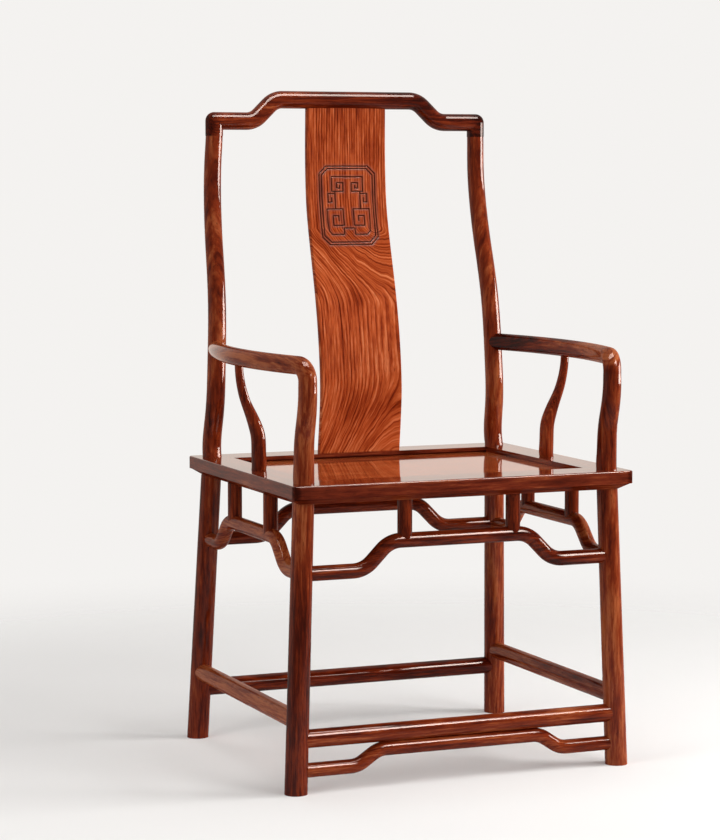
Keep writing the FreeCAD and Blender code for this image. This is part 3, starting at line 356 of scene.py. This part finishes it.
seat_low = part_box("seat_front_rail")[0]
seat_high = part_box("seat_rear_rail")[1]
frame_half = (seat_high.y - seat_low.y) / 2
opening_half = Vector((seat_high.x - SIDE_RAIL, frame_half - (FRONT_RAIL + REAR_RAIL) / 2))
opening_middle = (0, seat_low.y + FRONT_RAIL + opening_half.y, seat_high.z)
frame_middle = (0, seat_low.y + frame_half, seat_high.z)
for part, axis, heart in (
    ("front", "X", (0.06, 0.02)), ("rear", "X", (-0.07, 0.03)),
    ("left", "Y", (0.05, 0.03)), ("right", "Y", (-0.06, 0.02)),
):
    seed += 1
    finish = Finish(f"seat_{part}_rosewood")
    reach, aside, along = grain(finish, f"seat_{part}_rail", axis, heart, seed)
    x, y, z = finish.place(opening_middle)
    frame_y = finish.place(frame_middle)[1]
    outward = (abs(x) - opening_half.x).most(abs(y) - opening_half.y)
    edge = 1 - outward.rise(ARRIS * 0.5, ARRIS)
    joint_shadow = 1 - z.rise(-SHADOW_GAP_DEPTH - SHADOW_GAP_BLUR, -SHADOW_GAP_DEPTH)
    arris_shade = edge * z.rise(-ARRIS, -ARRIS * 0.5).most(joint_shadow)
    up = finish.facing_up()
    upright = 1 - up.rise(*UPRIGHT)
    corner = upright * abs(x).rise(seat_high.x - CORNER, seat_high.x - CORNER * 0.4)
    corner = corner * abs(frame_y).rise(frame_half - CORNER, frame_half - CORNER * 0.4)
    tone = figure(finish, reach, aside, along, seed, ring=0.006) - 0.04
    # Painted shade darkens the edge over the panel, the shadow gap where the panel meets it and the inner
    # faces above the panel, and the rounded outer corners are painted darker
    tone = tone - arris_shade * 0.45 - corner * 0.35 - edge * upright * 0.22
    # The top is polished brightest, the undercut below stays dull, and the painted shade at the edge and
    # the corners loses most of its gloss
    gloss = 0.05 + up.rise(*UNDERCUT) * 0.4 + up.rise(*LEVEL) * 0.5
    gloss = gloss * (1 - arris_shade * 0.9) * (1 - corner * 0.6)
    vessels = pores(finish, reach, aside, along, seed)
    lacquer(finish, rosewood(finish, tone, vessels, SEAT_WOOD), tone, vessels, gloss)
    dress(f"seat_{part}_rail", finish)


# Seat panel and battens
# A thin board floats in a groove of the frame, a little below its top, with two battens keyed into
# its underside. The board's grain runs across the chair and shows broad red and brown figure.

PANEL_WOOD = {
    "ink": (0.075, 0.0100, 0.0034), "dark": (0.19, 0.028, 0.0075),
    "body": (0.36, 0.070, 0.0175), "light": (0.52, 0.15, 0.05),
}
PANEL_SEED = 31

stick("seat_panel", "X", (0.13, 0.04), PANEL_SEED, gloss=0.95, wood=PANEL_WOOD, ring=0.008)
for side in SIDES:
    seed += 1
    stick(f"seat_batten_{side}", "Y", (0.03, 0.04), seed)


# Arms and arm struts
# Bowed round arms run from the rear posts and turn down onto the front posts in a pipe joint. An
# S-curved strut, thick at the seat and thin at the top, carries each arm in the middle.

JOINT_HEIGHT = 0.6554
TURN = 0.03
# How far back from its front end an arm comes to its glossier rear part
REAR_PART = (0.2, 0.4)

for side, heart, shade, climb, rear_gloss, strut_shade in (
    ("left", (0.04, 0.04), 0.3, -0.05, 0.55, -0.18),
    ("right", (-0.04, 0.04), 0.3, -0.62, 0.0, 0.02),
):
    seed += 1
    name = f"armrest_{side}"
    finish = Finish(f"{name}_rosewood")
    tone, vessels = sawn(finish, name, "Y", heart, seed, shade=shade, climb=climb, streak=1.8)
    # Where the arm turns down it takes up the figure of the post below
    post = f"front_post_{side}"
    post_tone, post_vessels = sawn(finish, post, "Z", bow=POST_BOW, **POSTS[post])
    back, above = finish.place((0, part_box(name)[0].y, JOINT_HEIGHT))[1:]
    turned = (1 - above.rise(0, TURN)) * (1 - back.rise(TURN * 1.5, TURN * 2.5))
    tone = tone + (post_tone - tone) * turned
    vessels = vessels + (post_vessels - vessels) * turned
    gloss = 0.22 + back.rise(*REAR_PART) * rear_gloss
    lacquer(finish, rosewood(finish, tone, vessels, DARK_WOOD), tone, vessels, gloss, dull=0.1)
    dress(name, finish)
    stick(f"arm_strut_{side}", "Z", (0.03, 0.03), seed + 0.5, shade=strut_shade)


# Back splat
# One board of orange-brown rosewood sawn to an S-curve, housed in the crest rail and the rear rail of
# the seat. A canted panel of squared scrolls is cut into its upper part with a fine gouge.

BOARD_WOOD = {
    "ink": (0.085, 0.0085, 0.0022), "dark": (0.215, 0.0250, 0.0045),
    "body": (0.43, 0.080, 0.0205), "light": (0.68, 0.215, 0.085),
}
MILLIMETRE = 0.001
# The right half of the scroll, about the board's middle, in millimetres
SCROLL = (
    ((0, 973.3), (29.2, 973.3), (29.2, 947.8), (8, 947.8), (8, 962.7), (20, 962.7), (20, 953.5),
     (14.3, 953.5), (14.3, 957.5)),
    ((23.6, 947.8), (23.6, 917)),
    ((23.6, 943.8), (36.6, 943.8), (36.6, 929), (30, 929), (30, 936.5)),
    ((0, 883.6), (10, 883.6), (10.6, 872.6), (33, 872.6), (38.6, 878.5), (40, 893), (40, 917), (9.6, 917),
     (9.6, 888.4), (29.5, 888.4), (29.5, 905.2), (18.6, 905.2), (18.6, 896.5)),
)
# The canted border's two lines: half width, height of its foot and top, and cut of its corners
BORDERS = ((52.6, 855, 991.8, 13), (48.2, 859.4, 987.4, 11.4))
# Half the width and the depth of a cut, and a distance that its painted shade and wax don't reach
GROOVE_HALF = 1.6
GROOVE_DEPTH = 1.2
FAR = 10.0
# The mesh is fine only where the carving is, to each side of the middle and between two heights
FINE_STEP = 0.5
COARSE_STEP = 5
FINE_HALF = 56
FINE_HEIGHTS = (850, 997)
ROUNDING = 2.0
ROUNDING_POINTS = 5
BACK_POINTS = 16
# The plain board is measured from a metre away, and at its ends from just inside them
OUTSIDE = 1
END_MARGIN = 0.05


def carved_lines():
    """Every straight cut of the carving, both halves, as pairs of points in millimetres."""
    half = [list(zip(line, line[1:])) for line in SCROLL]
    for wide, foot, top, corner in BORDERS:
        line = ((0, top), (wide - corner, top), (wide, top - corner), (wide, foot + corner),
                (wide - corner, foot), (0, foot))
        half.append(list(zip(line, line[1:])))
    cuts = [cut for line in half for cut in line]
    return np.array(cuts + [((-a[0], a[1]), (-b[0], b[1])) for a, b in cuts], float)


def to_nearest(cuts, across, z):
    """Distance to the nearest cut from places across the board at one height, in millimetres."""
    spots = np.stack([across, np.full(across.shape, z)], -1)
    nearest = np.full(across.shape, FAR)
    for start, end in cuts:
        line = end - start
        share = np.clip(((spots - start) @ line) / (line @ line), 0, 1)
        nearest = np.minimum(nearest, np.linalg.norm(spots - start - share[:, None] * line, axis=-1))
    return nearest


def spread(low, high, fine_low, fine_high):
    """Places from low to high, close together between fine_low and fine_high."""
    before = np.arange(fine_low - FINE_STEP, low, -COARSE_STEP)[::-1]
    after = np.arange(fine_high + FINE_STEP, high, COARSE_STEP)
    return np.concatenate([[low], before, np.arange(fine_low, fine_high, FINE_STEP), after, [high]])


def board_surface(name):
    """Front, back and half width of the frame's board, measured across it at one height."""
    mesh = nodes[name].data
    solid = BVHTree.FromPolygons([v.co for v in mesh.vertices], [p.vertices for p in mesh.polygons])

    def measure(z):
        front = solid.ray_cast(Vector((0, -OUTSIDE, z)), Vector((0, 1, 0)))[0].y
        back = solid.ray_cast(Vector((0, OUTSIDE, z)), Vector((0, -1, 0)))[0].y
        half = solid.ray_cast(Vector((OUTSIDE, (front + back) / 2, z)), Vector((-1, 0, 0)))[0].x
        return front, back, half

    return measure


def skin(name, rings):
    """A closed mesh over rings of points, one above another."""
    width = len(rings[0])
    last = (len(rings) - 1) * width
    faces = []
    for row in range(0, last, width):
        for column in range(width):
            after = (column + 1) % width
            faces.append((row + column, row + after, row + width + after, row + width + column))
    faces += [tuple(reversed(range(width))), tuple(range(last, last + width))]
    mesh = bpy.data.meshes.new(name)
    mesh.from_pydata([point for ring in rings for point in ring], [], faces)
    mesh.shade_smooth()
    return mesh


def into_scene(name, data):
    """A new object, put into the scene."""
    made = bpy.data.objects.new(name, data)
    bpy.context.collection.objects.link(made)
    return made


def carved_board(name, like):
    """The board as a fine mesh, rounded at its edges and cut with the carving."""
    low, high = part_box(like)
    measure = board_surface(like)
    heights = spread(low.z / MILLIMETRE, high.z / MILLIMETRE, *FINE_HEIGHTS)
    turn = np.linspace(0, math.pi / 2, ROUNDING_POINTS)[1:-1]
    cuts = carved_lines()
    rings = []
    from_cut = []
    for z in heights:
        level = min(max(z, heights[0] + END_MARGIN), heights[-1] - END_MARGIN) * MILLIMETRE
        front, back, half = (size / MILLIMETRE for size in measure(level))
        flat = half - ROUNDING
        across = spread(-flat, flat, -FINE_HALF, FINE_HALF)
        nearest = to_nearest(cuts, across, z)
        share = np.clip(1 - nearest / GROOVE_HALF, 0, 1)
        depth = GROOVE_DEPTH * share * (2 - share)
        ring = [(x, front + cut) for x, cut in zip(across, depth)]
        edge = [(flat + ROUNDING * math.sin(a), front + ROUNDING - ROUNDING * math.cos(a)) for a in turn]
        edge += [(flat + ROUNDING * math.cos(a), back - ROUNDING + ROUNDING * math.sin(a)) for a in turn]
        ring += edge + [(x, back) for x in np.linspace(flat, -flat, BACK_POINTS)]
        ring += [(-x, y) for x, y in reversed(edge)]
        rings.append([(x * MILLIMETRE, y * MILLIMETRE, z * MILLIMETRE) for x, y in ring])
        # Only the front's points know their distance, so that the back takes no painted shade
        from_cut += [*nearest, *[FAR] * (len(ring) - len(nearest))]
    mesh = skin(name, rings)
    mesh.attributes.new("from_cut", "FLOAT", "POINT").data.foreach_set("value", from_cut)
    return into_scene(name, mesh)


# In metres: the heart dips behind the board's right side, so the rings close below and above the dip,
# and the board darkens a little upwards
HEART = 0.048
DIP = 0.1
DIP_FOOT = (0.39, 0.63)
DIP_TOP = (0.75, 0.885)
DARKENING = (0.45, 1.0)
BOARD_SEED = 5
VESSEL_SEED = 3
CUT_SHADE_COLOUR = (0.03, 0.007, 0.004, 1)
WAX = (0.22, 0.075, 0.055, 1)
# In millimetres from the middle of a cut, where the painted shade and the wax thin out
CUT_SHADE_EDGE = (0.5, GROOVE_HALF)
WAX_EDGE = (1.5, 6)

splat = carved_board("back_splat_carved", "back_splat")
finish = Finish("splat_rosewood")
across, up = finish.place((0, 0, 0))[::2]
waver = up + finish.noise(finish.vector(across, 0, up * 0.4), 30, 3) * 0.02
dip = ((1 - waver.rise(*DIP_TOP)) * waver.rise(*DIP_FOOT)) ** 0.5 * DIP
reach = length(finish, across - HEART - dip * 0.4, dip, 0)
tone = figure(
    finish, reach, 0, up, BOARD_SEED, ring=0.0048, cloud=0.6, streak=0.45, fibre=1.7, late=0.7)
tone = tone + 0.05 - up.rise(*DARKENING) * 0.14
vessels = pores(finish, reach, 0, up, VESSEL_SEED)
colour = rosewood(finish, tone, vessels, BOARD_WOOD)
# The cuts are painted near black and dull as painted shade, and wax left beside them dulls the wood
from_cut = finish.node("ShaderNodeAttribute", {"attribute_name": "from_cut"}, out="Fac")
cut_shade = 1 - from_cut.rise(*CUT_SHADE_EDGE)
wax = 1 - from_cut.rise(*WAX_EDGE)
colour = finish.mix(wax * 0.4, colour, WAX)
colour = finish.mix(cut_shade * 0.93, colour, CUT_SHADE_COLOUR)
lacquer(finish, colour, tone, vessels, gloss=0.16 - cut_shade * 0.12, dull=0.15)
splat.data.materials.append(finish.made)
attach(splat, "root")
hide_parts("back_splat")


# Crest rail
# The top rail steps up to a raised middle and turns down at both ends over the rear posts. Its grain
# runs straight across the chair, and the turned-down heads are darkened almost to black: their end grain
# takes more stain, and painted shade darkens them further.

# The heart's place across the rail, and how far out the heads begin and are painted dark
CREST_HEART = (0.04, -0.05)
HEADS = (0.23, 0.268)
CREST_SEED = 41

finish = Finish("crest_rosewood")
along, aside, up = finish.place(middle_of("crest_rail"))
reach = length(finish, aside - CREST_HEART[0], up - CREST_HEART[1], 0)
heads = abs(along).rise(*HEADS)
# The heads are painted darker, for their end grain and as painted shade
tone = figure(finish, reach, up, along, CREST_SEED) - heads * 0.4 - along * 0.8 - 0.14
vessels = pores(finish, reach, up, along, CREST_SEED)
colour = rosewood(finish, tone, vessels, DARK_WOOD)
lacquer(finish, colour, tone, vessels, gloss=0.35 - heads * 0.2)
dress("crest_rail", finish)


# Room
# A plain pale floor and backdrop. Soft lamps light the chair from the front, the sides, above and behind,
# three more only shine in the lacquer, and the camera stands to the left at the height of the carving.

PALE = (0.905, 0.889, 0.871, 1)
SOFT_WHITE = (1, 0.985, 0.97, 1)
WARM_WHITE = (1, 0.88, 0.79, 1)
LAMP_WHITE = (1, 1, 1)
GLINT_WARM = (1, 0.84, 0.76)
SOFT = 0.18
DIM = 0.3
BRIGHT = 1.08
FLOOR_REACH = 2.4
FLOOR_SIDES = 96
# The floor lets a little of the backdrop through, and fades out between these distances
FLOOR_COVER = 0.85
FADE = (0.7, 2.1)

floor_mesh = bpy.data.meshes.new("floor")
turns = np.linspace(0, 2 * math.pi, FLOOR_SIDES + 1)[:-1]
rim = [(FLOOR_REACH * math.cos(turn), FLOOR_REACH * math.sin(turn), 0) for turn in turns]
floor_mesh.from_pydata(rim, [], [tuple(range(len(rim)))])
floor = into_scene("floor", floor_mesh)
finish = Finish("pale_floor")
away = length(finish, *finish.place((0, 0, 0)))
cover = FLOOR_COVER - away.rise(*FADE) * FLOOR_COVER
finish.set(Base_Color=PALE, Roughness=1.0, Specular_IOR_Level=0.0, Alpha=cover)
floor.data.materials.append(finish.made)

room = Finish("pale_room", bpy.data.worlds)
bpy.context.scene.world = room.made


def wall(colour, level):
    """A plain stretch of the room's walls."""
    return room.node("ShaderNodeBackground", None, {"Color": colour, "Strength": level})


def either(share, first, second):
    """Two stretches of wall, blended by a share."""
    return room.node("ShaderNodeMixShader", None, {"Fac": share, 1: first, 2: second})


# The lacquer mirrors a warm wall behind the chair and a dim room in front of it
direction = room.node("ShaderNodeTexCoord", out="Generated")
behind = room.node("ShaderNodeSeparateXYZ", None, {"Vector": direction}, out="Y").rise(-0.4, 0.3)
mirrored = either(behind, wall(WARM_WHITE, DIM), wall(WARM_WHITE, BRIGHT))
seen = room.node("ShaderNodeLightPath", out="Is Camera Ray")
unseen = either(seen.other("Is Glossy Ray"), wall(SOFT_WHITE, SOFT), mirrored)
backdrop = either(seen.most(seen.other("Is Transmission Ray")), unseen, wall(PALE, 1))
room.feed(room.tree.nodes["World Output"].inputs["Surface"], backdrop)


def lamp(name, place, aim, width, height, power, shines=False, beam=180):
    """A soft rectangular lamp that either lights the chair or only shines in its lacquer."""
    light = bpy.data.lights.new(name, "AREA")
    light.color = GLINT_WARM if shines else LAMP_WHITE
    light.shape = "RECTANGLE"
    light.size, light.size_y = width, height
    light.energy = power
    light.spread = math.radians(beam)
    made = into_scene(name, light)
    made.location = place
    made.rotation_euler = (Vector(aim) - Vector(place)).to_track_quat("-Z", "Y").to_euler()
    made.visible_diffuse = not shines
    made.visible_glossy = shines
    return made


CHAIR_MIDDLE = (0, 0, 0.6)
lamp("key", (1.45, -2.85, 1.6), CHAIR_MIDDLE, 1.4, 1.4, 40)
lamp("side_key", (2.8, -1.1, 1.2), CHAIR_MIDDLE, 1.4, 1.4, 104)
lamp("overhead", (0.2, -0.2, 3.0), CHAIR_MIDDLE, 1.6, 1.6, 24)
lamp("left_fill", (-2.4, -0.8, 1.5), CHAIR_MIDDLE, 1.2, 1.6, 24)
lamp("rear_fill", (-0.8, 3.2, 1.8), CHAIR_MIDDLE, 1.6, 1.6, 14)
lamp("ceiling_glint", (0, -0.5, 3.0), CHAIR_MIDDLE, 2.2, 1.0, 250, shines=True)
lamp("front_glint", (0.45, -0.85, 0.98), (-0.05, -0.15, 0.2), 1.1, 0.4, 5, shines=True, beam=40)
right_glint = lamp("right_glint", (2.5, -0.55, 0.85), (0, 0, 0.85), 1.5, 0.8, 170, shines=True)

# A flag keeps the right lamp out of the flat seat and splat, which would mirror it whole from the side
flag = bpy.data.collections.new("seat_and_splat_flag")
seat_rails = [nodes[f"seat_{part}_rail"] for part in (*ENDS, *SIDES)]
for piece in (nodes["seat_panel"], *seat_rails, splat):
    flag.objects.link(piece)
for member in flag.collection_objects:
    member.light_linking.link_state = "EXCLUDE"
right_glint.light_linking.receiver_collection = flag

CAMERA_TILT = 0.0932
CAMERA_TURN = 0.3962

camera = into_scene("camera", bpy.data.cameras.new("camera"))
camera.location = (-1.81797, -4.16171, 0.98962)
camera.rotation_euler = (math.pi / 2 - CAMERA_TILT, 0, -CAMERA_TURN)
camera.data.lens = 115.78
camera.data.clip_end = 50
bpy.context.scene.camera = camera
bpy.context.scene.view_settings.view_transform = "Standard"
